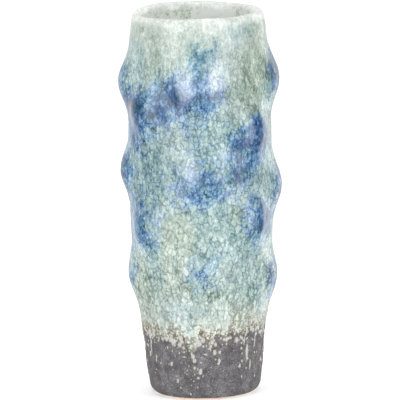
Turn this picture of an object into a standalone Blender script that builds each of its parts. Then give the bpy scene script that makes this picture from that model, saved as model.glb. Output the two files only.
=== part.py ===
"""A hand-built stoneware vase: the clay pieces that are luted together, and the fired coats over them.

Metres, +Z up. The origin is the centre of the standing face and the front faces -Y.
An angle round the vase is measured from the front, in degrees, and grows towards +X.
Every radius is worked out from the finished (glazed) surface, inwards through the coat to the clay.
"""

import math

import bmesh
import bpy
from mathutils import Vector

# The finished vase
HEIGHT = 0.250
OUTLINE = (  # height and radius of the finished wall, from the rounded base edge up to the lip
    (0.0075, 0.0363),
    (0.020, 0.0380),
    (0.035, 0.0391),
    (0.055, 0.0418),
    (0.080, 0.0442),
    (0.110, 0.0461),
    (0.150, 0.0465),
    (0.200, 0.0462),
    (0.228, 0.0451),
    (0.244, 0.0433),
)
BASE_EDGE_RADIUS = 0.0075
LIP_CREST_RADIUS = 0.0397
LIP_HALF_WIDTH = 0.0036
SEGMENTS = 48
FOOT_CROWDING = 1.6  # how strongly the wall's rings crowd towards its curved foot; 1 is evenly

# What the wall is made of, from the outside in
COAT = 0.0007
LUTE_GAP = 0.0003
CLAY_WALL = 0.0052
CLAY_DEPTH = COAT + LUTE_GAP  # from the finished outside to the clay's outside
INNER_CLAY = CLAY_DEPTH + CLAY_WALL  # to the clay's inside
INNER_FINISHED = INNER_CLAY + CLAY_DEPTH  # to the glazed inside

# Base slab
SLAB_TOP = 0.0095
SHOULDER_HEIGHT = 0.0060
STANDING_RADIUS = 0.0295
RECESS_RADIUS = 0.0205
RECESS_DEPTH = 0.0016
BARE_EDGE_ANGLE = 30.0  # the coat stops here on the rounded edge, in degrees from straight down
SEAM_COIL_SIZE = 0.0062

# Rim coil
RIM_JOINT_HEIGHT = 0.2350
RIM_LAP_HEIGHT = 0.0040

# The lower edge of the glossy glaze, which rises and falls round the wall
GLAZE_LINE = 0.0410
GLAZE_LINE_FADE = 0.0140
WAVES = ((1, 0.0042, 0.0), (4, 0.0016, 30.0))  # waves round the wall, their height and their phase

# Knobs: rounds of clay luted into scored seats
KNOBS = (  # name, degrees round from the front, then millimetres: height, reach and rise
    ("high_front", 0, 205, 27, 6.0),
    ("high_right", 90, 206, 29, 6.2),
    ("high_back", 183, 204, 26, 6.0),
    ("high_left", 270, 205, 27, 6.3),
    ("shoulder_front_right", 47, 175, 26, 5.6),
    ("shoulder_back_right", 133, 180, 26, 5.6),
    ("shoulder_back_left", 226, 177, 27, 5.6),
    ("shoulder_front_left", 310, 189, 26, 5.6),
    ("middle_front", 3, 151, 27, 5.6),
    ("middle_right", 90, 136, 29, 5.9),
    ("middle_back", 178, 148, 26, 5.6),
    ("middle_left", 270, 147, 25, 5.6),
    ("belly_front_right", 45, 116, 26, 5.2),
    ("belly_back_right", 138, 118, 26, 5.2),
    ("belly_back_left", 223, 113, 26, 5.2),
    ("belly_front_left", 310, 113, 26, 5.2),
    ("low_front", -2, 91, 26, 4.2),
    ("low_right", 90, 75, 28, 4.6),
    ("low_back", 182, 84, 26, 4.4),
    ("low_left", 270, 78, 27, 4.3),
)
KNOB_FACE_INSET = 0.00055
KNOB_EDGE_SHARE = 0.585  # the clay round's radius as a share of how far the knob swells the wall
KNOB_SEGMENTS = 16
SEAT_RADIUS = 0.0090
SEAT_DEPTH = 0.0012

# Fired finishes: colour and roughness
BARE_CLAY = ((0.56, 0.36, 0.22), 0.85)
GLOSSY_OUTER_GLAZE = ((0.46, 0.60, 0.57), 0.25)
GLOSSY_LINER_GLAZE = ((0.52, 0.58, 0.48), 0.30)
DRY_SLIP = ((0.13, 0.12, 0.12), 0.80)


def clear_scene():
    for obj in list(bpy.data.objects):
        bpy.data.objects.remove(obj, do_unlink=True)


def fired(name, finish):
    """A Principled material for a clay, a slip or a glaze."""
    colour, roughness = finish
    material = bpy.data.materials.new(name)
    material.use_nodes = True
    shader = material.node_tree.nodes["Principled BSDF"]
    shader.inputs["Base Color"].default_value = (*colour, 1.0)
    shader.inputs["Roughness"].default_value = roughness
    shader.inputs["Metallic"].default_value = 0.0
    return material


def add_object(name, mesh_builder, finish):
    """Turns a finished bmesh into a named object with its own material, smooth faces and sharp creases."""
    mesh = bpy.data.meshes.new(name)
    mesh_builder.normal_update()
    bmesh.ops.recalc_face_normals(mesh_builder, faces=mesh_builder.faces)
    mesh_builder.to_mesh(mesh)
    mesh_builder.free()
    mesh.materials.append(fired(name, finish))
    mesh.shade_smooth()
    mesh.set_sharp_from_angle(angle=math.radians(40))
    obj = bpy.data.objects.new(name, mesh)
    bpy.context.scene.collection.objects.link(obj)
    return obj


# ---- The finished surface ----


def finished_radius(height):
    """Radius of the glazed wall at a height, without knobs: a smooth curve through OUTLINE."""
    last = len(OUTLINE) - 2
    i = min(max(sum(1 for z, _ in OUTLINE if z <= height) - 1, 0), last)

    def slope(k):
        low, high = OUTLINE[max(k - 1, 0)], OUTLINE[min(k + 1, last + 1)]
        return (high[1] - low[1]) / (high[0] - low[0])

    (z0, r0), (z1, r1) = OUTLINE[i], OUTLINE[i + 1]
    span = z1 - z0
    t = (height - z0) / span
    return (
        (2 * t**3 - 3 * t**2 + 1) * r0
        + (t**3 - 2 * t**2 + t) * span * slope(i)
        + (3 * t**2 - 2 * t**3) * r1
        + (t**3 - t**2) * span * slope(i + 1)
    )


def base_edge(depth, angle):
    """(radius, height) on the rounded base edge at a depth under its surface, angle from straight down."""
    centre_radius, centre_height = OUTLINE[0][1] - BASE_EDGE_RADIUS, BASE_EDGE_RADIUS
    reach = BASE_EDGE_RADIUS - depth
    a = math.radians(angle)
    return centre_radius + reach * math.sin(a), centre_height - reach * math.cos(a)


def lip(depth, angle):
    """(radius, height) on the lip at a depth under its surface: 90 outside, 0 at the crest, -90 inside."""
    centre_height = OUTLINE[-1][0]
    a = math.radians(angle)
    radius = LIP_CREST_RADIUS + (LIP_HALF_WIDTH - depth) * math.sin(a)
    return radius, centre_height + (HEIGHT - centre_height - depth) * math.cos(a)


def steps(low, high, count):
    """count + 1 values from low to high, both included."""
    return [low + (high - low) * i / count for i in range(count + 1)]


def wall_line(depth, low, high, count, crowding=1.0):
    """(radius, height) points up the wall at a depth under its surface. Crowding draws them to the foot."""
    heights = [low + (high - low) * share**crowding for share in steps(0, 1, count)]
    return [(finished_radius(z) - depth, z) for z in heights]


# ---- Turned pieces ----


def turned(outline, segments=SEGMENTS):
    """Spins a closed outline of (radius, height) points round Z. Points on the axis become poles."""
    builder = bmesh.new()
    points = [builder.verts.new((r, 0.0, z)) for r, z in outline]
    on_axis = outline[0][0] == 0.0 and outline[-1][0] == 0.0
    pairs = list(zip(points, points[1:]))
    if not on_axis:
        pairs.append((points[-1], points[0]))
    edges = [builder.edges.new(pair) for pair in pairs]
    bmesh.ops.spin(
        builder,
        geom=points + edges,
        cent=(0, 0, 0),
        axis=(0, 0, 1),
        angle=math.tau,
        steps=segments,
        use_merge=True,
    )
    bmesh.ops.remove_doubles(builder, verts=builder.verts, dist=1e-6)
    return builder


def base_slab():
    """The floor: a rounded disc with a shoulder for the wall to stand on and a shallow recess below."""
    spigot_radius = finished_radius(SLAB_TOP) - INNER_CLAY - LUTE_GAP
    shoulder_angle = math.degrees(
        math.acos((BASE_EDGE_RADIUS - SHOULDER_HEIGHT) / (BASE_EDGE_RADIUS - CLAY_DEPTH))
    )
    rounded = [base_edge(CLAY_DEPTH, a) for a in steps(shoulder_angle, BARE_EDGE_ANGLE, 3)]
    outline = [
        (0.0, SLAB_TOP),
        (spigot_radius, SLAB_TOP),
        (spigot_radius, SHOULDER_HEIGHT),
        *rounded,
        (STANDING_RADIUS, 0.0),
        (RECESS_RADIUS, 0.0),
        (RECESS_RADIUS - RECESS_DEPTH, RECESS_DEPTH),
        (0.0, RECESS_DEPTH),
    ]
    return add_object("base_slab", turned(outline), BARE_CLAY)


def body_wall():
    """The wall, rebated over the slab below and under the rim coil above, with a seat for each knob."""
    foot = SHOULDER_HEIGHT + LUTE_GAP
    foot_angle = math.degrees(
        math.acos((BASE_EDGE_RADIUS - foot) / (BASE_EDGE_RADIUS - CLAY_DEPTH))
    )
    outside_top = RIM_JOINT_HEIGHT
    inside_top = outside_top - RIM_LAP_HEIGHT
    middle_depth = CLAY_DEPTH + CLAY_WALL / 2
    outside = wall_line(CLAY_DEPTH, BASE_EDGE_RADIUS, outside_top, 8, FOOT_CROWDING)
    inside = wall_line(INNER_CLAY, BASE_EDGE_RADIUS, inside_top, 8, FOOT_CROWDING)
    outline = [
        base_edge(CLAY_DEPTH, foot_angle),
        *outside,
        (finished_radius(outside_top) - middle_depth, outside_top),
        (finished_radius(inside_top) - middle_depth, inside_top),
        *reversed(inside),
        (inside[0][0], foot),
    ]
    wall = add_object("body_wall", turned(outline), BARE_CLAY)
    cut = wall.modifiers.new("knob_seats", "BOOLEAN")
    cut.operation = "DIFFERENCE"
    cut.solver = "EXACT"
    cut.object = seat_cutter()
    return wall


def rim_coil():
    """The coil that makes the lip. Its skirt laps down inside the wall's top edge."""
    outside_foot = RIM_JOINT_HEIGHT + LUTE_GAP
    skirt_foot = outside_foot - RIM_LAP_HEIGHT
    skirt_depth = CLAY_DEPTH + CLAY_WALL / 2 + LUTE_GAP
    lip_centre = OUTLINE[-1][0]
    outline = [
        *wall_line(CLAY_DEPTH, outside_foot, lip_centre, 2)[:-1],
        *[lip(CLAY_DEPTH, a) for a in steps(90, -90, 6)],
        (finished_radius(skirt_foot) - INNER_CLAY, skirt_foot),
        (finished_radius(skirt_foot) - skirt_depth, skirt_foot),
        (finished_radius(outside_foot) - skirt_depth, outside_foot),
    ]
    return add_object("rim_coil", turned(outline), BARE_CLAY)


def seam_coil():
    """The thin coil pressed into the corner between wall and floor, hollowed by the potter's finger."""
    corner_height = SLAB_TOP + LUTE_GAP
    top = corner_height + SEAM_COIL_SIZE
    corner_radius = finished_radius(corner_height) - INNER_CLAY - LUTE_GAP
    top_radius = finished_radius(top) - INNER_CLAY - LUTE_GAP
    blunt_from, blunt_to = 6, 78  # the finger's arc stops short of a feather edge on floor and wall
    hollow = [
        (
            corner_radius - SEAM_COIL_SIZE + SEAM_COIL_SIZE * math.sin(math.radians(a)),
            top - SEAM_COIL_SIZE * math.cos(math.radians(a)),
        )
        for a in steps(blunt_from, blunt_to, 3)
    ]
    outline = [
        *hollow,
        (top_radius, hollow[-1][1]),
        (corner_radius, corner_height),
        (hollow[0][0], corner_height),
    ]
    return add_object("seam_coil", turned(outline), BARE_CLAY)


def liner_glaze():
    """The coat inside, from the crest of the lip down the wall, over the seam coil and across the floor."""
    floor = SLAB_TOP + 2 * LUTE_GAP
    coil_top = floor + SEAM_COIL_SIZE
    corner_radius = finished_radius(floor) - INNER_FINISHED
    wall_foot = coil_top + SEAM_COIL_SIZE

    def lining(depth, floor_height):
        """Points from the axis along the floor and up to the lip's crest, depth behind the glazed inside."""
        radius = corner_radius - SEAM_COIL_SIZE
        reach = SEAM_COIL_SIZE + depth
        fillet = [
            (
                radius + reach * math.sin(math.radians(a)),
                coil_top + COAT - reach * math.cos(math.radians(a)),
            )
            for a in steps(0, 75, 3)
        ]
        return [
            (0.0, floor_height),
            *fillet,
            *wall_line(INNER_FINISHED - depth, wall_foot, RIM_JOINT_HEIGHT, 7, FOOT_CROWDING),
            *[lip(depth, a) for a in steps(-90, -6, 4)],
        ]

    outline = [*lining(0.0, floor + COAT), *reversed(lining(COAT, floor))]
    return add_object("liner_glaze", turned(outline), GLOSSY_LINER_GLAZE)


def wave(angle):
    """How far the glaze line stands above its mean height at an angle round the vase."""
    return sum(
        height * math.sin(math.radians(count * angle + phase)) for count, height, phase in WAVES
    )


def angle_of(point):
    """Degrees round the vase from the front, towards +X."""
    return math.degrees(math.atan2(point.x, -point.y))


def follow_glaze_line(builder):
    """Slides the vertices near the glaze line along the wall, so that the line rises and falls."""
    for vertex in builder.verts:
        nearness = 1 - abs(vertex.co.z - GLAZE_LINE) / GLAZE_LINE_FADE
        if nearness > 0:
            radius = vertex.co.to_2d().length
            depth = finished_radius(vertex.co.z) - radius
            vertex.co.z += nearness * wave(angle_of(vertex.co))
            vertex.co.xy *= (finished_radius(vertex.co.z) - depth) / radius


def matt_slip_band():
    """The dry dark slip on the lower wall, from the bare foot up to the glaze line."""
    top = GLAZE_LINE - LUTE_GAP
    outline = []
    for depth, direction in ((0.0, 1), (COAT, -1)):
        side = [
            *[base_edge(depth, a) for a in steps(BARE_EDGE_ANGLE, 90, 3)][:-1],
            *wall_line(depth, BASE_EDGE_RADIUS, top, 5),
        ]
        outline += side[::direction]
    builder = turned(outline)
    follow_glaze_line(builder)
    return add_object("matt_slip_band", builder, DRY_SLIP)


# ---- Knobs ----


def knobs():
    """Each knob's name, angle round the vase in degrees, height, reach and rise."""
    for name, angle, height, reach, rise in KNOBS:
        yield f"knob_{name}", angle, height / 1000, reach / 1000, rise / 1000


def swell(distance, reach, rise):
    """How far a knob lifts the surface at a distance from its middle."""
    share = (distance / reach) ** 2
    return rise * (1 - share) ** 3 if share < 1 else 0.0


def on_wall(local, angle, height):
    """Wraps a knob's own coordinates (across, up, out from the clay) onto the wall at its place."""
    clay_radius = finished_radius(height + local.y) - CLAY_DEPTH
    turn = math.radians(angle) + local.x / (finished_radius(height) - CLAY_DEPTH)
    radius = clay_radius + local.z
    return Vector((radius * math.sin(turn), -radius * math.cos(turn), height + local.y))


def wrapped(outline, angle, height):
    """Spins an outline of (distance from the middle, out from the clay) and wraps it onto the wall."""
    builder = turned(outline, KNOB_SEGMENTS)
    for vertex in builder.verts:
        vertex.co = on_wall(vertex.co, angle, height)
    return builder


def knob(name, angle, height, reach, rise):
    """A domed round of clay whose back is keyed into the wall's seat."""
    edge_radius = KNOB_EDGE_SHARE * reach
    crown = [(d, swell(d, reach, rise) - KNOB_FACE_INSET) for d in steps(0, edge_radius, 3)]
    plug_radius = SEAT_RADIUS - LUTE_GAP
    outline = [
        *crown,
        (edge_radius, LUTE_GAP),
        (plug_radius, LUTE_GAP),
        (plug_radius, LUTE_GAP - SEAT_DEPTH),
        (0.0, LUTE_GAP - SEAT_DEPTH),
    ]
    return add_object(name, wrapped(outline, angle, height), BARE_CLAY)


def seat_cutter():
    """All the knob seats as one cutter, which the build leaves out."""
    all_seats = bmesh.new()
    stand_out = 0.002
    outline = [
        (0.0, stand_out),
        (SEAT_RADIUS, stand_out),
        (SEAT_RADIUS, -SEAT_DEPTH),
        (0.0, -SEAT_DEPTH),
    ]
    for _, angle, height, _, _ in knobs():
        seat_mesh = bpy.data.meshes.new("seat")
        seat = wrapped(outline, angle, height)
        seat.to_mesh(seat_mesh)
        seat.free()
        all_seats.from_mesh(seat_mesh)
        bpy.data.meshes.remove(seat_mesh)
    cutter = add_object("seat_cutter", all_seats, BARE_CLAY)
    cutter.hide_render = True
    cutter.display_type = "WIRE"
    return cutter


def outer_glaze():
    """The glossy coat outside: turned with the wall, then pushed out over the knobs."""
    rows = 30
    bottom, top = GLAZE_LINE, OUTLINE[-1][0]
    outside = [*wall_line(0.0, bottom, top, rows), *[lip(0.0, a) for a in (60, 30, 0)]]
    inside = [*wall_line(COAT, bottom, top, rows), *[lip(COAT, a) for a in (60, 30, 0)]]
    builder = turned([*outside, *reversed(inside)])
    follow_glaze_line(builder)
    places = [(math.radians(angle), *place) for _, angle, *place in knobs()]
    for vertex in builder.verts:
        radius = vertex.co.to_2d().length
        here = math.radians(angle_of(vertex.co))
        lift = 0.0
        for angle, height, reach, rise in places:
            across = radius * math.remainder(here - angle, math.tau)
            lift += swell(math.hypot(across, vertex.co.z - height), reach, rise)
        vertex.co.xy *= (radius + lift) / radius
    return add_object("outer_glaze", builder, GLOSSY_OUTER_GLAZE)


def main():
    clear_scene()
    base_slab()
    seam_coil()
    body_wall()
    rim_coil()
    for place in knobs():
        knob(*place)
    matt_slip_band()
    outer_glaze()
    liner_glaze()


main()
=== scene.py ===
"""The looks of the stoneware vase: a mottled glossy glaze that runs over the knobs, and dry dark slip below.

Metres, +Z up, the front faces -Y. An angle round the vase is in radians from the front, towards +X.
"""

import math

import bpy
import numpy as np
from mathutils import Matrix, Vector


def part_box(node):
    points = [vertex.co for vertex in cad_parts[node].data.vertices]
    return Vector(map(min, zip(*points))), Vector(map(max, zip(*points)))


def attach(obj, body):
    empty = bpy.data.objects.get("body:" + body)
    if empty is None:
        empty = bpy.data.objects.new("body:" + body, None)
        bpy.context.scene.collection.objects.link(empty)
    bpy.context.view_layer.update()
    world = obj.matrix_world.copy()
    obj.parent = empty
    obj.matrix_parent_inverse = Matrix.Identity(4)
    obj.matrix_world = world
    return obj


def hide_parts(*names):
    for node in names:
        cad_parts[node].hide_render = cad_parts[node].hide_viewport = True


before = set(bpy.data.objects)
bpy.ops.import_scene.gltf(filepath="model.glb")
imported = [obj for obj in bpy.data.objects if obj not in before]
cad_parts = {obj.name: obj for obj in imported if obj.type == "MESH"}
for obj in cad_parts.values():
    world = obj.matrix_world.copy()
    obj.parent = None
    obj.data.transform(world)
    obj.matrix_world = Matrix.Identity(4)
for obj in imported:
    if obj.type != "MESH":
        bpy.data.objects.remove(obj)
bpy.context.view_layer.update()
MM = 0.001

# The finished wall, as the CAD has it: height and radius, from the rounded base edge up to the lip
OUTLINE = np.array(
    (
        (7.5, 36.3),
        (20.0, 38.0),
        (35.0, 39.1),
        (55.0, 41.8),
        (80.0, 44.2),
        (110.0, 46.1),
        (150.0, 46.5),
        (200.0, 46.2),
        (228.0, 45.1),
        (244.0, 43.3),
    )
) * MM
EDGE_HEIGHT, EDGE_RADIUS = OUTLINE[0]
LIP_HEIGHT = OUTLINE[-1][0]
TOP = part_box("outer_glaze")[1].z
LIP_CREST_RADIUS = 39.7 * MM
LIP_HALF_WIDTH = 3.6 * MM
WALL = 7.2 * MM  # from the glazed outside to the glazed inside
SLAB_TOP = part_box("base_slab")[1].z
FLOOR = SLAB_TOP + 1.3 * MM
COIL = 6.2 * MM  # radius of the corner between wall and floor

# The knobs, as the CAD has them: degrees round from the front, then millimetres: height, reach and rise
KNOBS = (
    (0, 205, 27, 6.0),
    (90, 206, 29, 6.2),
    (183, 204, 26, 6.0),
    (270, 205, 27, 6.3),
    (47, 175, 26, 5.6),
    (133, 180, 26, 5.6),
    (226, 177, 27, 5.6),
    (310, 189, 26, 5.6),
    (3, 151, 27, 5.6),
    (90, 136, 29, 5.9),
    (178, 148, 26, 5.6),
    (270, 147, 25, 5.6),
    (45, 116, 26, 5.2),
    (138, 118, 26, 5.2),
    (223, 113, 26, 5.2),
    (310, 113, 26, 5.2),
    (-2, 91, 26, 4.2),
    (90, 75, 28, 4.6),
    (182, 84, 26, 4.4),
    (270, 78, 27, 4.3),
)

COAT = 0.75 * MM
SLIP_DEPTH = 0.25 * MM  # how far the slip's surface lies behind the glaze's
BARE_EDGE_ANGLE = 29  # the slip stops here on the rounded base edge, in degrees from straight down


def degrees(angle):
    return math.radians(angle)


# ---- Shape ----


def finished_radius(height):
    """Radius of the glazed wall at these heights, without knobs: a smooth curve through OUTLINE."""
    z, r = OUTLINE.T
    low = np.maximum(np.arange(len(z)) - 1, 0)
    high = np.minimum(np.arange(len(z)) + 1, len(z) - 1)
    slope = (r[high] - r[low]) / (z[high] - z[low])
    i = np.clip(np.searchsorted(z, height, side="right") - 1, 0, len(z) - 2)
    span = z[i + 1] - z[i]
    t = (height - z[i]) / span
    return (
        (2 * t**3 - 3 * t**2 + 1) * r[i]
        + (t**3 - 2 * t**2 + t) * span * slope[i]
        + (3 * t**2 - 2 * t**3) * r[i + 1]
        + (t**3 - t**2) * span * slope[i + 1]
    )


def smooth(low, high, value):
    """0 below low, 1 above high, and a smooth step between."""
    t = np.clip((value - low) / (high - low), 0, 1)
    return t * t * (3 - 2 * t)


def turn_between(a, b):
    """The angle from b to a, between minus and plus half a turn."""
    return (a - b + math.pi) % math.tau - math.pi


def knob_lift(angle, height):
    """How far the knobs push the wall out."""
    radius = finished_radius(np.clip(height, EDGE_HEIGHT, LIP_HEIGHT))
    lift = np.zeros(np.broadcast(angle, height).shape)
    for knob_angle, knob_height, reach, rise in KNOBS:
        across = radius * turn_between(angle, degrees(knob_angle))
        up = height - knob_height * MM
        share = (across**2 + up**2) / (reach * MM) ** 2
        lift += rise * MM * np.clip(1 - share, 0, None) ** 3
    return lift


LATTICE = 64
NOISE = np.random.default_rng(7).uniform(-1, 1, (LATTICE, LATTICE, LATTICE))


def noise(points, size, shift=0):
    """Smooth noise between -1 and 1 with features of a size. A shift gives another pattern."""
    p = points / size + shift * 7.31
    cell = np.floor(p).astype(int)
    f = p - cell
    f = f * f * f * (f * (f * 6 - 15) + 10)
    total = 0.0
    for corner in np.ndindex(2, 2, 2):
        weight = np.prod(np.where(corner, f, 1 - f), axis=-1)
        x, y, z = np.moveaxis((cell + corner) % LATTICE, -1, 0)
        total = total + weight * NOISE[x, y, z]
    return total


def on_cylinder(radius, angle, height):
    return np.stack([radius * np.sin(angle), -radius * np.cos(angle), height + 0 * angle], axis=-1)


# ---- The glaze's lower edge and the drops below it ----

GLAZE_RUNS = (  # degrees round the vase, length in millimetres, half-width in degrees
    (-12.0, 11.0, 6.0),
    (4.0, 7.5, 6.0),
    (19.0, 6.0, 5.0),
    (-42.0, 1.5, 4.0),
    (-27.0, 1.0, 3.0),
    (36.0, 4.5, 7.5),
    (75.0, 4.0, 4.0),
    (118.0, 7.0, 4.5),
    (158.0, 3.0, 5.0),
    (197.0, 6.0, 4.0),
    (240.0, 4.0, 4.5),
    (277.0, 7.5, 4.0),
)


def glaze_line(angle):
    """Height of the glaze's lower edge round the vase: higher on the right, with waves and runs."""
    line = 46.0 + 2.6 * np.sin(angle) + 1.2 * np.sin(4 * angle + 0.5) + 0.8 * np.sin(9 * angle + 2.0)
    for run_angle, length, width in GLAZE_RUNS:
        share = turn_between(angle, degrees(run_angle)) / degrees(width)
        line = line - length * np.exp(-(share**2))
    return line * MM


def above_edge(angle, height, base):
    """How far a point lies above the glaze's ragged edge, which breaks up into lobes and islands."""
    lobes = 3.2 * MM * noise(base, 5.6 * MM, 8) + 2.1 * MM * noise(base, 2.6 * MM, 9)
    return height - glaze_line(angle) + lobes + 1.4 * MM * noise(base, 1.3 * MM, 19)


DRIPS = (  # degrees round the vase, then millimetres: height, half-width, half-length
    (-10.5, 38, 2.6, 4.5),
    (-15.5, 41, 2.2, 2.8),
    (-5, 38.5, 1.8, 2.3),
    (45, 30, 1.1, 6.5),
    (50, 21, 0.7, 3.5),
    (41, 38, 0.6, 3.0),
    (56, 36, 0.6, 5.0),
    (-63, 33, 0.7, 5.0),
    (-55, 26, 0.6, 3.0),
    (150, 34, 0.9, 5.0),
    (230, 31, 0.8, 5.0),
)


def spatter_drops():
    """(angle, height, radius, stretch) of the cream drops on the slip, thick near the glaze, thin at the foot."""
    rng = np.random.default_rng(21)
    drops = [(degrees(a), z * MM, r * MM, length / r) for a, z, r, length in DRIPS]
    kinds = ((260, 2.4, 0.6, 1.3), (100, 5.0, 1.15, 2.0), (60, 10.0, 0.75, 1.4), (380, 18.0, 0.42, 0.9))
    for count, fall, middle_radius, most in kinds:
        for _ in range(count):
            angle = rng.uniform(-math.pi, math.pi)
            height = glaze_line(angle) - rng.exponential(fall) * MM
            radius = min(rng.lognormal(math.log(middle_radius), 0.35), most)
            stretch = rng.uniform(0.9, 1.7)
            if height > 1.5 * MM:
                drops.append((angle, height, radius * MM, stretch))
    return drops


def drop_cover(angle, height, drops):
    """1 in the middle of a drop, falling to 0 at its edge."""
    cover = np.zeros(np.broadcast(angle, height).shape)
    for drop_angle, drop_height, radius, stretch in drops:
        across = finished_radius(max(drop_height, EDGE_HEIGHT)) * turn_between(angle, drop_angle)
        along = (height - drop_height) / stretch
        cover = np.maximum(cover, np.clip(1.5 - np.hypot(across, along) / radius, 0, 1) ** 1.3)
    return cover


# ---- Where the colours of the glaze lie ----

COBALT_POOLS = (  # degrees round the vase, then millimetres: height, half-width, half-height; then strength
    (2, 229, 9, 7, 0.2),
    (0, 212, 4.5, 9, 0.6),
    (1, 198.5, 6, 5, 0.95),
    (-20, 201, 11, 8.5, 0.95),
    (14, 199, 7, 6, 0.35),
    (-61, 188, 12, 8, 1.0),
    (-64, 195, 5, 6, 0.6),
    (-82, 187, 8, 9, 0.8),
    (-60, 172, 10, 10, 0.45),
    (-40, 190, 11, 6, 0.35),
    (48, 168.5, 11, 9, 0.75),
    (45, 174, 7, 6, 0.7),
    (33, 155, 7, 9, 0.4),
    (2.6, 147, 6, 7, 0.48),
    (-9, 138, 9, 6, 0.3),
    (13, 138, 8, 6, 0.3),
    (-58, 115, 9.7, 11.5, 0.65),
    (-80, 112, 8, 10, 0.5),
    (54.5, 115, 7.5, 9.5, 0.9),
    (42, 121, 5.5, 8, 0.4),
    (-90, 207, 7.5, 9, 0.5),
    (90, 212, 9.5, 10.5, 1.0),
    (-90, 147, 10, 10, 0.9),
    (90, 133, 8, 11, 0.95),
    (-90, 79, 10, 9, 0.6),
    (90, 75, 10, 10, 0.8),
)
BLUE_HAZES = (  # thinner stains round the pools: as above
    (0, 85, 9.5, 10, 0.65),
    (0, 141, 18, 12, 0.4),
    (38, 158, 11, 10, 0.25),
    (-10, 166, 12, 13, 0.28),
    (-22, 193, 15, 8, 0.42),
    (-56, 116, 13, 17, 0.3),
    (3, 228, 10, 9, 0.28),
)
MILKY_AND_HIGHLIGHT_PATCHES = (  # where the glaze is painted pale and cloudy over a pool, partly its own milkiness and partly a painted highlight of the softboxes on the knobs: as above
    (-11.5, 208, 4, 7, 0.5),
    (13, 212, 6, 8, 0.6),
    (-7.5, 152, 4.5, 5.5, 0.5),
)

TONE_AND_SHADE_PATCHES = (  # broad places painted lighter and darker, partly the glaze's own tone and partly painted light and shade that evens out the lamps: as above, darker where the strength is negative
    (-33, 241, 9, 6, -0.4),
    (20, 238, 6, 8, -0.5),
    (-45, 224, 8, 16, 0.4),
    (24, 218, 7, 17, -0.75),
    (50, 216, 7, 10, 0.45),
    (84, 213, 9, 9, -0.6),
    (-25, 221, 9, 8, -0.7),
    (-67, 209, 8, 13, 0.2),
    (57, 206, 9, 14, 0.6),
    (-25, 188, 9, 8, -0.5),
    (60, 185, 6, 8, 0.7),
    (-17, 175, 6, 5, -0.5),
    (10, 169, 5, 7, 0.5),
    (-30, 166, 7, 30, -0.5),
    (-3, 158, 10, 5, -0.9),
    (24, 155, 5, 22, -0.35),
    (2, 138, 7, 6, 0.5),
    (-26, 138, 9, 9, -0.4),
    (28, 116, 11, 7, 0.7),
    (11, 104, 5, 8, 0.4),
    (0, 98, 6, 5, -0.5),
    (-20, 86, 7, 7, 0.5),
    (49, 77, 7, 22, 0.45),
    (-61, 79, 8, 14, 0.4),
    (12.5, 66, 6, 10, 0.6),
    (24, 63, 5, 9, -0.6),
    (40, 62, 8, 8, 0.3),
    (-24, 57, 6, 5, -0.5),
    (-1, 46, 11, 5, 0.8),
)


def back_pools():
    """Stains on the knobs behind, like those in front: a pool, one that has slid off it, and a thin stain round both."""
    rng = np.random.default_rng(4)
    pools, hazes = [], []
    for angle, height, _, rise in KNOBS:
        if 100 < angle < 260:
            slide = rng.uniform(-16, 16)
            strength = rise / 6 * rng.uniform(0.5, 0.85)
            pools.append((angle, height - 3, rng.uniform(7, 11), rng.uniform(6, 9), strength))
            pools.append((angle + slide, height - 12, rng.uniform(5, 9), rng.uniform(4, 8), strength * 0.75))
            hazes.append((angle + slide / 2, height - 6, 15, 14, 0.4))
    return pools, hazes


def tone_and_shade(angle, height):
    """How much lighter the glaze is painted at each point than its mottle makes it: partly its own tone, partly painted
    light and shade.
    """
    total = np.zeros(np.broadcast(angle, height).shape)
    for patch_angle, patch_height, half_width, half_height, strength in TONE_AND_SHADE_PATCHES:
        across = finished_radius(patch_height * MM) * turn_between(angle, degrees(patch_angle))
        x, z = across / (half_width * MM), (height - patch_height * MM) / (half_height * MM)
        total += strength * np.exp(-0.65 * (x * x + z * z))
    return total


def pool(angle, height, points, spread, pools):
    """Strength of the pools at each point, with edges that wander. A spread over 1 is the paler haze round them."""
    wander_across = 2.2 * MM * noise(points, 7 * MM, 1) + 1.2 * MM * noise(points, 3 * MM, 15)
    wander_along = 2.8 * MM * noise(points, 9 * MM, 2) + 1.6 * MM * noise(points, 3.5 * MM, 16)
    left = np.ones(np.broadcast(angle, height).shape)
    for pool_angle, pool_height, half_width, half_height, strength in pools:
        across = finished_radius(pool_height * MM) * turn_between(angle, degrees(pool_angle))
        x = (across + wander_across) / (half_width * spread * MM)
        z = (height - pool_height * MM + wander_along) / (half_height * spread * MM)
        left = left * (1 - strength * np.exp(-0.65 * (x * x + z * z)))
    broken = 1 + 0.4 * noise(points, 4.6 * MM, 20) + 0.35 * noise(points, 2.2 * MM, 21)
    return np.clip((1 - left) * broken, 0, 1)


# ---- Mesh making ----


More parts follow.
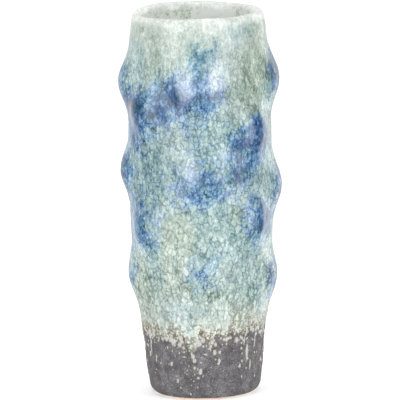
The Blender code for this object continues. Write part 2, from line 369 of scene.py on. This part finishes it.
def solid_from_rings(name, front, back, fields, poles):
    """A closed mesh: front rings, back rings behind them, joined at the first ring and at the last ring or axis.

    The fields are per-vertex values for the materials, given the vertices."""
    rows, columns = front.shape[:2]
    points = [front.reshape(-1, 3), back.reshape(-1, 3)]
    back_start = rows * columns
    here = np.arange(columns)
    after = (here + 1) % columns
    quads = []
    for j in range(rows - 1):
        a = j * columns
        quads.append(np.stack([a + here, a + after, a + columns + after, a + columns + here], axis=-1))
    for j in range(len(back) - 1):
        a = back_start + j * columns
        quads.append(np.stack([a + here, a + columns + here, a + columns + after, a + after], axis=-1))
    quads.append(np.stack([here, back_start + here, back_start + after, after], axis=-1))
    front_end, back_end = back_start - columns, back_start + (len(back) - 1) * columns
    faces = [tuple(map(int, quad)) for quad in np.concatenate(quads)]
    if poles:
        front_pole = back_start + len(back) * columns
        points.append(np.array([[0, 0, front[-1, :, 2].mean()], [0, 0, back[-1, :, 2].mean()]]))
        for i, k in zip(here.tolist(), after.tolist()):
            faces.append((front_end + i, front_end + k, front_pole))
            faces.append((back_end + k, back_end + i, front_pole + 1))
    else:
        for i, k in zip(here.tolist(), after.tolist()):
            faces.append((front_end + i, front_end + k, back_end + k, back_end + i))
    points = np.concatenate(points)
    mesh = bpy.data.meshes.new(name)
    mesh.from_pydata(points.tolist(), [], faces)
    mesh.shade_smooth()
    for field, values in fields(points).items():
        attribute = mesh.attributes.new(field, "FLOAT", "POINT")
        attribute.data.foreach_set("value", values.astype(np.float32))
    obj = bpy.data.objects.new(name, mesh)
    bpy.context.scene.collection.objects.link(obj)
    return obj


def cylinder_coordinates(points):
    x, y, z = points.T
    return np.arctan2(x, -y), z, np.hypot(x, y)


def ring(columns):
    """The angles of a ring's vertices."""
    return np.linspace(0, math.tau, columns, endpoint=False)[None, :]


GLAZE_RING = ring(320)
SLIP_RING = ring(560)
FOOT_RING = ring(192)


def wander(points):
    """The hand-built wall's slow wander from a true turned surface."""
    return 0.35 * MM * noise(points, 38 * MM, 3) + 0.12 * MM * noise(points, 14 * MM, 4)


def lip_wave(angle, height):
    """How far the lip dips and rises round the vase."""
    wave = 0.45 * np.sin(2 * angle + 0.6) + 0.25 * np.sin(3 * angle + 2.2) + 0.12 * np.sin(7 * angle)
    return wave * MM * smooth(205 * MM, 244 * MM, height)


def glaze_rows():
    """(radius, height, normal across, normal up, outside) rows of the glaze, from its lower edge to the floor's middle."""
    low = np.arange(26.0, 58.0, 0.6) * MM
    high = np.arange(58.0, 243.5, 1.1) * MM
    outer = [(finished_radius(z), z, 1.0, 0.0, 1.0) for z in np.concatenate([low, high])]
    lip = []
    for a in np.linspace(90, -90, 19):
        s, c = math.sin(degrees(a)), math.cos(degrees(a))
        radius = LIP_CREST_RADIUS + LIP_HALF_WIDTH * s
        lip.append((radius, LIP_HEIGHT + (TOP - LIP_HEIGHT) * c, s, c, (1 + s) / 2))
    floor_corner = finished_radius(FLOOR) - WALL
    coil_top = FLOOR + COIL
    shares = np.linspace(0, 1, 32)[1:] ** 1.5
    inner = []
    for z in LIP_HEIGHT + (coil_top + 5 * MM - LIP_HEIGHT) * shares:
        inner.append((finished_radius(z) - WALL, z, -1.0, 0.0, 0.0))
    corner = []
    for a in np.linspace(78, 0, 6):
        s, c = math.sin(degrees(a)), math.cos(degrees(a))
        corner.append((floor_corner - COIL + COIL * s, coil_top - COIL * c, -s, c, 0.0))
    floor = [(r, FLOOR, 0.0, 1.0, 0.0) for r in np.linspace(floor_corner - COIL, 2 * MM, 6)[1:]]
    return np.array([*outer, *lip, *inner, *corner, *floor])


def glaze_surface(rows, offset):
    """Points of the glaze at an offset from its finished surface, ring by ring."""
    radius, height, across, up, outside = (column[:, None] for column in rows.T)
    base = on_cylinder(radius, GLAZE_RING, height)
    knobs = knob_lift(GLAZE_RING, height) * outside
    radius = radius + knobs + wander(base * [1, 1, 0.7]) + across * offset
    height = height + lip_wave(GLAZE_RING, height) + up * offset
    return on_cylinder(radius, GLAZE_RING, height)


def coat_relief(rows):
    """How far the glaze stands out of its even thickness: curdled all over, rolled at its edge, gone below it."""
    height, outside = rows[:, 1:2], rows[:, 4:5]
    base = on_cylinder(rows[:, :1], GLAZE_RING, height)
    curdle = 0.08 * MM * noise(base, 3.0 * MM, 5) + 0.12 * MM * noise(base * [1, 1, 0.6], 8 * MM, 6)
    ragged = above_edge(GLAZE_RING, height, base)
    cover = smooth(-0.6 * MM, 0.7 * MM, ragged)
    roll = 0.25 * MM * np.exp(-(((ragged - 1.4 * MM) / (1.6 * MM)) ** 2))
    edge = (cover - 1) * (SLIP_DEPTH + 0.3 * MM) + cover * roll
    return curdle * np.maximum(cover, 1 - outside) + np.where(outside > 0.99, edge, 0.0)


def glaze_fields(points):
    angle, height, radius = cylinder_coordinates(points)
    wall = finished_radius(np.clip(height, EDGE_HEIGHT, LIP_HEIGHT))
    inside = smooth(2.5 * MM, 6 * MM, wall + knob_lift(angle, height) - radius)
    crest = smooth(8 * MM, 2 * MM, TOP - height)
    pools_behind, hazes_behind = back_pools()
    cobalt_pools = (*COBALT_POOLS, *pools_behind)
    stains = (*cobalt_pools, *BLUE_HAZES, *hazes_behind)
    drift = noise(points, 24 * MM, 10)
    right = np.sin(angle - 0.35).clip(0, 1)
    top = smooth(212 * MM, 240 * MM, height + 10 * MM * drift + 8 * MM * noise(points, 9 * MM, 17))
    low = smooth(74 * MM, 52 * MM, height + 8 * MM * drift)
    in_front = smooth(2.9, 1.9, np.abs(angle))  # the side terms fade out before they meet behind
    # painted shade, in part: the upper left, where the left softbox's reflection falls, gets less cream and a darker
    # glaze; the rest is the glaze's own greyer colour there
    painted_shade_upper_left = smooth(0.2, 1.1, -turn_between(angle, 0)) * in_front
    cream = np.maximum(0.5 * top * (1 - 0.75 * right) * (1 - 0.6 * painted_shade_upper_left), 0.35 * low) + 0.2 * smooth(0.1, 0.7, noise(points, 20 * MM, 11))
    oxide = 0.38 + 0.5 * noise(points, 24 * MM, 12) + 0.3 * right * smooth(180 * MM, 215 * MM, height)
    base = on_cylinder(wall, angle[:, None].T[0], height)
    edge = above_edge(angle, height, base)
    middle = smooth(85 * MM, 125 * MM, height) * smooth(222 * MM, 190 * MM, height)
    left = smooth(0.2, -0.5, turn_between(angle, degrees(-10))) * in_front
    upper_right = smooth(0.45, 0.8, angle) * in_front * smooth(150 * MM, 190 * MM, height) * (1 - crest)
    painted_shade_upper_left = painted_shade_upper_left * smooth(190 * MM, 215 * MM, height) * (1 - crest)
    right_side = smooth(0.1, 0.6, angle) * in_front * smooth(60 * MM, 110 * MM, height)
    # painted light: the glaze inside the mouth, which the wall shades, is made lighter; more at the sides and most on
    # the right, which faces the left softbox
    painted_light_inside = inside * (0.5 + 0.6 * np.abs(np.sin(angle)) + 0.7 * np.sin(angle).clip(0, 1))
    low_side = smooth(0.4, 0.8, np.abs(turn_between(angle, 0))) * smooth(95 * MM, 65 * MM, height)
    # the glaze's lightness: its own tone and noise, plus painted shade at the upper left, painted light inside the
    # mouth, and painted light and shade in the broad patches
    light = 0.72 - middle * (0.3 + 0.35 * left) - 0.5 * upper_right - 0.55 * painted_shade_upper_left + 0.1 * crest
    light -= 0.45 * low_side + 0.12 * smooth(110 * MM, 80 * MM, height)
    light -= 0.5 * right_side + 0.25 * smooth(205 * MM, 235 * MM, height)
    light += 0.22 * noise(points, 16 * MM, 22) + painted_light_inside + tone_and_shade(angle, height) * (1 - inside)
    return {
        "light": light,
        "speck": smooth(1.6 * MM, 0.5 * MM, np.hypot(wall * turn_between(angle, degrees(0.5)), height - 98 * MM)),
        "cobalt": pool(angle, height, points, 1.0, cobalt_pools) * (1 - inside),
        "haze": pool(angle, height, points, 1.45, stains) * (1 - inside),
        # pale cloudy glaze over the pools, in part a painted highlight of the softboxes
        "milk_and_highlight": pool(angle, height, points, 1.0, MILKY_AND_HIGHLIGHT_PATCHES) * (1 - inside),
        "cream": np.clip(np.maximum(cream, crest) * (1 - 0.7 * inside * (1 - crest)), 0, 1),
        "oxide": np.clip(oxide + 0.4 * inside, 0, 1),
        "inside": inside * (1 - crest),
        "edge": np.clip(edge / (10 * MM) + 10 * inside, -1, 2),
    }


def glaze_coat():
    rows = glaze_rows()
    front = glaze_surface(rows, coat_relief(rows))
    behind = rows[np.unique(np.concatenate([np.arange(0, len(rows), 14), [len(rows) - 1]]))]
    back = glaze_surface(behind, -COAT)
    obj = solid_from_rings("glaze_coat", front, back, glaze_fields, poles=True)
    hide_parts("outer_glaze", "liner_glaze")
    return obj


def base_edge(angle):
    """(radius, height, normal across, normal up) on the rounded base edge, the angle in degrees from straight down."""
    s, c = math.sin(degrees(angle)), math.cos(degrees(angle))
    centre = EDGE_RADIUS - EDGE_HEIGHT
    return centre + EDGE_HEIGHT * s, EDGE_HEIGHT - EDGE_HEIGHT * c, s, -c


def slip_rows():
    """(radius, height, normal across, normal up) rows of the slip, from the bare foot up behind the glaze."""
    edge = [base_edge(a) for a in np.linspace(BARE_EDGE_ANGLE, 90, 18)[:-1]]
    wall = [(finished_radius(z), z, 1.0, 0.0) for z in np.arange(7.5, 56.0, 0.5) * MM]
    return np.array(edge + wall)


def slip_surface(rows, offset):
    radius, height, across, up = (column[:, None] for column in rows.T)
    base = on_cylinder(radius, SLIP_RING, height)
    shift = wander(base * [1, 1, 0.7]) * smooth(0, 20 * MM, height)
    return on_cylinder(radius + shift + across * offset, SLIP_RING, height + up * offset)


def slip_band(drops):
    rows = slip_rows()
    height = rows[:, 1:2]
    base = on_cylinder(rows[:, :1], SLIP_RING, height)
    fade = smooth(0, 2 * MM, height)
    grit = 0.05 * MM * noise(base, 1.3 * MM, 13)
    throwing = 0.07 * MM * noise(base * [0.15, 0.15, 1], 2.2 * MM, 14)
    drop = 0.25 * MM * smooth(0.0, 0.8, drop_cover(SLIP_RING, height, drops))
    front = slip_surface(rows, fade * (grit + throwing + drop) - SLIP_DEPTH * smooth(0, 6 * MM, height))
    back = slip_surface(rows[:: len(rows) // 12], -COAT)

    def fields(points):
        angle, height, _ = cylinder_coordinates(points)
        return {
            "spatter": drop_cover(angle, height, drops),
            "below_line": (glaze_line(angle) - height) / (10 * MM),
        }

    obj = solid_from_rings("slip_coat", front, back, fields, poles=False)
    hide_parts("matt_slip_band")
    return obj


def foot():
    """The bare base: a standing ring with a shallow recess inside it, and the slab above."""
    skin = 1.0 * MM  # how far the clay lies behind the slip above the bare edge
    standing = [(28.4, 0.0), (28.9, 0.02)]
    rounded = [base_edge(a)[:2] for a in np.linspace(12, BARE_EDGE_ANGLE + 3, 8)]
    shoulder_radius, shoulder_height = rounded[-1]
    slab = [
        (shoulder_radius - skin, shoulder_height + skin),
        (shoulder_radius - skin, SLAB_TOP - skin),
        (shoulder_radius - 2 * skin, SLAB_TOP),
        (1 * MM, SLAB_TOP),
    ]
    upper = [*[(r * MM, z * MM) for r, z in standing], *rounded, *slab]
    recess = ((28.0, 0.0), (22.0, 0.0), (21.0, 0.15), (20.2, 0.8), (19.2, 1.45), (18.0, 1.6), (9.0, 1.6), (1.0, 1.6))
    lower = [(r * MM, z * MM) for r, z in recess]

    def rings(outline):
        radius, height = np.array(outline).T[:, :, None]
        return on_cylinder(radius, FOOT_RING, height)

    obj = solid_from_rings("foot", rings(upper), rings(lower), lambda points: {}, poles=True)
    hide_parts("base_slab")
    return obj


# ---- Materials ----


class Nodes:
    """Short names for adding shader nodes to one material."""

    def __init__(self, name):
        self.material = bpy.data.materials.new(name)
        self.material.use_nodes = True
        self.tree = self.material.node_tree
        self.shader = self.tree.nodes["Principled BSDF"]

    def add(self, kind, **settings):
        node = self.tree.nodes.new(kind)
        for key, value in settings.items():
            setattr(node, key, value)
        return node

    def put(self, socket, value):
        if isinstance(value, bpy.types.NodeSocket):
            self.tree.links.new(value, socket)
        else:
            socket.default_value = value

    def attribute(self, name):
        return self.add("ShaderNodeAttribute", attribute_name=name).outputs["Fac"]

    def place(self, stretch=(1, 1, 1)):
        """Object coordinates in millimetres, stretched."""
        coordinates = self.add("ShaderNodeTexCoord").outputs["Object"]
        mapping = self.add("ShaderNodeMapping")
        self.put(mapping.inputs["Vector"], coordinates)
        mapping.inputs["Scale"].default_value = [1 / MM * s for s in stretch]
        return mapping.outputs["Vector"]

    def noise(self, place, size, detail=2.0, roughness=0.5):
        node = self.add("ShaderNodeTexNoise")
        self.put(node.inputs["Vector"], place)
        node.inputs["Scale"].default_value = 1 / size
        node.inputs["Detail"].default_value = detail
        node.inputs["Roughness"].default_value = roughness
        return node.outputs["Fac"]

    def cells(self, place, size, feature):
        node = self.add("ShaderNodeTexVoronoi", feature=feature)
        self.put(node.inputs["Vector"], place)
        node.inputs["Scale"].default_value = 1 / size
        return node.outputs["Distance" if feature == "DISTANCE_TO_EDGE" else "Color"]

    def math(self, operation, a, b=0.0, c=0.0, clamp=False):
        node = self.add("ShaderNodeMath", operation=operation, use_clamp=clamp)
        for socket, value in zip(node.inputs, (a, b, c)):
            self.put(socket, value)
        return node.outputs[0]

    def weigh(self, start, *terms):
        """start plus the sum of value times weight, for (value, weight) terms."""
        total = start
        for value, weight in terms:
            total = self.math("MULTIPLY_ADD", value, weight, total)
        return total

    def step(self, value, low, high):
        node = self.add("ShaderNodeMapRange", interpolation_type="SMOOTHSTEP")
        self.put(node.inputs["Value"], value)
        node.inputs["From Min"].default_value = low
        node.inputs["From Max"].default_value = high
        return node.outputs["Result"]

    def ramp(self, value, *stops):
        """Colours in sRGB, 0 to 255, at places from 0 to 1."""
        node = self.add("ShaderNodeValToRGB")
        self.put(node.inputs["Fac"], value)
        elements = node.color_ramp.elements
        while len(elements) < len(stops):
            elements.new(0.5)
        for element, (place, colour) in zip(elements, stops):
            element.position = place
            element.color = srgb(colour)
        return node.outputs["Color"]

    def mix(self, share, a, b):
        node = self.add("ShaderNodeMix", data_type="RGBA")
        self.put(node.inputs["Factor"], share)
        self.put(node.inputs[6], a)
        self.put(node.inputs[7], b)
        return node.outputs[2]

    def height(self):
        """Height over the floor, in metres."""
        split = self.add("ShaderNodeSeparateXYZ")
        self.put(split.inputs[0], self.add("ShaderNodeTexCoord").outputs["Object"])
        return split.outputs["Z"]

    def warp(self, place, size, amount):
        """Moves a place about by a noise of a size, so that a pattern read there loses its straight lines."""
        noise = self.add("ShaderNodeTexNoise")
        self.put(noise.inputs["Vector"], place)
        noise.inputs["Scale"].default_value = 1 / size
        centred = self.add("ShaderNodeVectorMath", operation="SUBTRACT")
        self.put(centred.inputs[0], noise.outputs["Color"])
        centred.inputs[1].default_value = (0.5, 0.5, 0.5)
        moved = self.add("ShaderNodeVectorMath", operation="MULTIPLY_ADD")
        self.put(moved.inputs[0], centred.outputs[0])
        moved.inputs[1].default_value = (amount, amount, amount)
        self.put(moved.inputs[2], place)
        return moved.outputs[0]

    def bump(self, height, distance, strength=1.0):
        node = self.add("ShaderNodeBump")
        self.put(node.inputs["Height"], height)
        node.inputs["Distance"].default_value = distance
        node.inputs["Strength"].default_value = strength
        self.put(self.shader.inputs["Normal"], node.outputs["Normal"])


def srgb(colour):
    linear = [c / 255 / 12.92 if c <= 10 else ((c / 255 + 0.055) / 1.055) ** 2.4 for c in colour]
    return (*linear, 1.0)


def glaze_material():
    n = Nodes("mottled_glaze")
    place = n.place((1, 1, 0.75))
    streaked = n.place((1, 1, 0.35))
    warp = n.warp(place, 2.4, 3.2)
    cream = n.attribute("cream")
    inside = n.attribute("inside")
    low = n.weigh(
        0.0, (n.step(n.height(), 125 * MM, 65 * MM), 0.65), (n.step(n.height(), 225 * MM, 190 * MM), 0.35)
    )
    vein = n.step(n.cells(warp, 3.2, "DISTANCE_TO_EDGE"), 0.17, 0.0)
    tone = n.cells(warp, 3.2, "F1")
    wide_vein = n.step(n.cells(warp, 5.2, "DISTANCE_TO_EDGE"), 0.15, 0.0)
    grain = n.noise(place, 1.15, 2.0, 0.6)
    fleck = n.noise(warp, 2.6, 2.0, 0.6)
    runs = n.noise(streaked, 2.0, 2.0)
    drift = n.noise(n.place((1, 1, 0.6)), 11.0, 2.0, 0.6)
    broken = n.weigh(0.35, (n.step(n.noise(place, 4.0), 0.36, 0.58), 0.65))
    veined = n.math("MULTIPLY", broken, n.weigh(0.3, (n.step(n.height(), 235 * MM, 200 * MM), 0.7)))
    deviation = n.weigh(
        -0.1 - 0.4 - 0.3 - 0.3 + 0.11,
        (tone, 0.2),
        (grain, 0.8),
        (fleck, 0.6),
        (runs, 0.6),
        (n.math("MULTIPLY", n.weigh(-0.5, (drift, 1.0)), n.weigh(0.7, (low, -0.35))), 1.0),
        (n.math("MULTIPLY", vein, n.math("MULTIPLY", veined, n.weigh(1.0, (n.attribute("haze"), -0.45)))), -0.42),
        (n.math("MULTIPLY", n.math("MULTIPLY", low, wide_vein), n.step(drift, 0.62, 0.38)), -0.34),
    )
    # the light attribute brings painted light and shade into the glaze colour, along with the glaze's own tone
    mottle = n.weigh(0.39, (deviation, 0.76), (n.attribute("light"), 0.18))
    celadon = n.ramp(
        mottle, (0.1, (82, 112, 118)), (0.34, (124, 151, 151)), (0.58, (166, 187, 184)), (0.85, (214, 225, 222))
    )
    green = n.ramp(
        mottle, (0.1, (92, 111, 98)), (0.34, (136, 153, 140)), (0.58, (175, 188, 176)), (0.85, (218, 226, 216))
    )
    pale = n.ramp(mottle, (0.05, (148, 158, 151)), (0.45, (196, 203, 196)), (0.8, (232, 234, 229)))
    colour = n.mix(n.step(n.attribute("oxide"), 0.25, 0.75), celadon, green)
    colour = n.mix(cream, colour, pale)
    cobalt = n.attribute("cobalt")
    stained = n.weigh(0.02, (mottle, 1.0), (cobalt, -0.33), (n.attribute("haze"), -0.05))
    blue = n.ramp(
        stained, (0.0, (34, 60, 98)), (0.18, (62, 96, 137)), (0.36, (102, 138, 172)), (0.56, (150, 181, 202)), (0.8, (204, 218, 228))
    )
    teal = n.ramp(
        stained, (0.0, (30, 60, 82)), (0.18, (56, 94, 116)), (0.36, (96, 134, 150)), (0.56, (146, 177, 188)), (0.8, (200, 216, 222))
    )
    greening = n.weigh(0.0, (n.noise(n.place(), 7.0, 2.0), 1.0), (n.step(n.height(), 212 * MM, 226 * MM), 0.3))
    blue = n.mix(n.step(greening, 0.44, 0.68), blue, teal)
    share = n.weigh(-0.6, (n.attribute("haze"), 1.0), (cobalt, 0.7), (fleck, 0.7), (deviation, -0.25))
    colour = n.mix(n.step(share, -0.05, 0.65), colour, blue)
    # pale lilac glaze over the pools, in part a painted highlight where the softboxes reflect on the knobs
    milky_and_highlight = n.ramp(mottle, (0.15, (150, 168, 196)), (0.45, (204, 212, 228)), (0.75, (232, 236, 246)))
    colour = n.mix(n.attribute("milk_and_highlight"), colour, milky_and_highlight)
    # the glaze inside the mouth, in pale colours near white: partly its own pale green, partly painted light against
    # the shade in the mouth
    lining = n.ramp(mottle, (0.36, (148, 166, 146)), (0.5, (216, 228, 212)), (0.64, (252, 254, 250)))
    colour = n.mix(inside, colour, lining)
    edge = n.attribute("edge")
    curdled = n.ramp(
        mottle, (0.3, (142, 142, 126)), (0.48, (198, 202, 187)), (0.68, (232, 234, 224))
    )
    thin = n.step(n.weigh(0.0, (edge, 1.0), (deviation, 1.5)), 1.25, 0.2)
    colour = n.mix(n.math("MULTIPLY", thin, 0.8), colour, curdled)
    grit = n.noise(place, 0.9, 2.0, 0.6)
    specks = n.step(n.weigh(0.0, (grit, 1.0), (edge, -0.27)), 0.44, 0.53)
    colour = n.mix(n.math("MULTIPLY", specks, 0.8), colour, srgb((112, 100, 78)))
    colour = n.mix(n.math("MULTIPLY", n.attribute("speck"), 0.6), colour, srgb((128, 98, 74)))
    n.put(n.shader.inputs["Base Color"], colour)
    n.put(n.shader.inputs["Roughness"], n.weigh(0.05, (grain, 0.18), (thin, 0.25)))
    n.shader.inputs["IOR"].default_value = 1.52
    n.bump(n.weigh(0.0, (fleck, 0.7), (grain, 0.5), (vein, -0.2)), 0.12 * MM)
    return n.material


def slip_material():
    n = Nodes("dry_dark_slip")
    place = n.place()
    grain = n.noise(place, 0.9, 3.0, 0.65)
    patch = n.noise(place, 6.0, 3.0)
    speck = n.step(n.cells(place, 1.7, "DISTANCE_TO_EDGE"), 0.36, 0.5)
    shade = n.weigh(-1.15, (grain, 2.0), (patch, 1.2), (speck, 0.45))
    dark = n.ramp(shade, (0.15, (78, 76, 76)), (0.5, (101, 99, 101)), (0.85, (135, 134, 136)))
    rust = n.ramp(grain, (0.35, (88, 76, 66)), (0.65, (168, 156, 134)))
    cream = n.ramp(grain, (0.3, (160, 159, 152)), (0.7, (214, 216, 210)))
    scum = n.step(n.weigh(0.0, (n.attribute("below_line"), -0.6), (grain, 1.0)), 0.3, 0.62)
    colour = n.mix(n.math("MULTIPLY", scum, 0.8), dark, rust)
    spatter = n.weigh(-0.3, (n.attribute("spatter"), 1.0), (grain, 0.6))
    colour = n.mix(n.math("MULTIPLY", n.step(spatter, 0.08, 0.4), 0.6), colour, rust)
    cover = n.step(spatter, 0.2, 0.95)
    colour = n.mix(cover, colour, cream)
    n.put(n.shader.inputs["Base Color"], colour)
    n.put(n.shader.inputs["Roughness"], n.weigh(0.8, (cover, -0.35), (grain, -0.1)))
    n.bump(grain, 0.15 * MM)
    return n.material


def clay_material():
    n = Nodes("bare_buff_clay")
    place = n.place()
    grain = n.noise(place, 0.7, 4.0, 0.65)
    patch = n.noise(place, 9.0, 2.0)
    shade = n.weigh(-0.4, (grain, 0.9), (patch, 0.9))
    n.put(
        n.shader.inputs["Base Color"],
        n.ramp(shade, (0.2, (192, 160, 134)), (0.5, (226, 201, 179)), (0.8, (240, 224, 209))),
    )
    n.put(n.shader.inputs["Roughness"], n.weigh(0.78, (grain, 0.15)))
    n.bump(grain, 0.15 * MM)
    return n.material


# ---- Studio ----


def aim_at_vase(obj, azimuth, elevation):
    """Turns a lamp so that it shines from this direction."""
    a, e = degrees(azimuth), degrees(elevation)
    towards = Vector((math.sin(a) * math.cos(e), -math.cos(a) * math.cos(e), math.sin(e)))
    obj.rotation_mode = "QUATERNION"
    obj.rotation_quaternion = towards.to_track_quat("Z", "Y")
    return towards


def add_lamp(name, kind, energy):
    data = bpy.data.lights.new(name, kind)
    data.energy = energy
    obj = bpy.data.objects.new(name, data)
    obj.visible_camera = False
    bpy.context.scene.collection.objects.link(obj)
    return obj


def softbox(name, azimuth, brightness, width):
    """A tall box of light beside the vase that reaches below the table's edge."""
    distance, height, middle = 2.2, 3.2, 0.4
    obj = add_lamp(name, "AREA", brightness * math.pi * width * height)
    obj.data.shape = "RECTANGLE"
    obj.data.size = width
    obj.data.size_y = height
    obj.data.color = (0.98, 0.985, 1.0)
    obj.location = aim_at_vase(obj, azimuth, 0) * distance + Vector((0, 0, middle))


def overhead(strength):
    """A broad soft light straight above."""
    obj = add_lamp("overhead", "SUN", strength)
    obj.data.angle = degrees(60)
    aim_at_vase(obj, 0, 85)


def white_room():
    """A white sweep behind the vase and dimmer walls at its sides and in front; the camera sees only white."""
    world = bpy.data.worlds.new("studio")
    bpy.context.scene.world = world
    world.use_nodes = True
    nodes, links = world.node_tree.nodes, world.node_tree.links
    background = nodes["Background"]
    background.inputs["Color"].default_value = (1, 1, 1, 1)
    split = nodes.new("ShaderNodeSeparateXYZ")
    sweep = nodes.new("ShaderNodeMapRange")
    path = nodes.new("ShaderNodeLightPath")
    brightest = nodes.new("ShaderNodeMath")
    sweep.inputs["From Min"].default_value = 0.45
    sweep.inputs["From Max"].default_value = 0.6
    sweep.inputs["To Min"].default_value = WALLS
    sweep.inputs["To Max"].default_value = SWEEP
    brightest.operation = "MAXIMUM"
    links.new(nodes.new("ShaderNodeTexCoord").outputs["Generated"], split.inputs[0])
    links.new(split.outputs["Y"], sweep.inputs["Value"])
    links.new(sweep.outputs["Result"], brightest.inputs[0])
    links.new(path.outputs["Is Camera Ray"], brightest.inputs[1])
    links.new(brightest.outputs[0], background.inputs["Strength"])


WALLS, SWEEP = 0.25, 1.0  # how bright the room is


def white_floor():
    reach = 14.0
    corners = [(-reach, -reach, 0), (reach, -reach, 0), (reach, reach, 0), (-reach, reach, 0)]
    mesh = bpy.data.meshes.new("floor")
    mesh.from_pydata(corners, [], [(0, 1, 2, 3)])
    floor = bpy.data.objects.new("floor", mesh)
    bpy.context.scene.collection.objects.link(floor)
    paint = bpy.data.materials.new("floor_paint")
    paint.use_nodes = True
    shader = paint.node_tree.nodes["Principled BSDF"]
    shader.inputs["Base Color"].default_value = (0.9, 0.9, 0.9, 1)
    shader.inputs["Roughness"].default_value = 1.0
    shader.inputs["Specular IOR Level"].default_value = 0.0
    shader.inputs["Emission Color"].default_value = (1, 1, 1, 1)
    shader.inputs["Emission Strength"].default_value = 0.3
    mesh.materials.append(paint)
    floor.visible_glossy = False


def studio():
    bpy.context.scene.view_settings.view_transform = "Standard"
    white_room()
    softbox("left_softbox", -47, 3.5, 1.25)
    softbox("right_softbox", 55, 3.6, 1.25)
    softbox("rear_strip", 132, 1.25, 1.0)
    overhead(1.6)
    white_floor()


def camera():
    """A long lens a few metres away, a little above the vase and not quite level."""
    data = bpy.data.cameras.new("camera")
    data.sensor_width = 36
    data.lens = 705
    obj = bpy.data.objects.new("camera", data)
    bpy.context.scene.collection.objects.link(obj)
    bpy.context.scene.camera = obj
    place = Vector((0, -5.0, 1.015))
    aim = Vector((-0.0010, 0, 0.1256))
    turn = (place - aim).to_track_quat("Z", "Y").to_matrix().to_4x4()
    roll = Matrix.Rotation(degrees(-1.23), 4, "Z")
    obj.matrix_world = Matrix.Translation(place) @ turn @ roll


def main():
    clay = clay_material()
    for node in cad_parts.values():
        node.data.materials.clear()
        node.data.materials.append(clay)
    pieces = (
        (glaze_coat(), glaze_material()),
        (slip_band(spatter_drops()), slip_material()),
        (foot(), clay),
    )
    for piece, material in pieces:
        piece.data.materials.append(material)
        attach(piece, "root")
    studio()
    camera()


main()
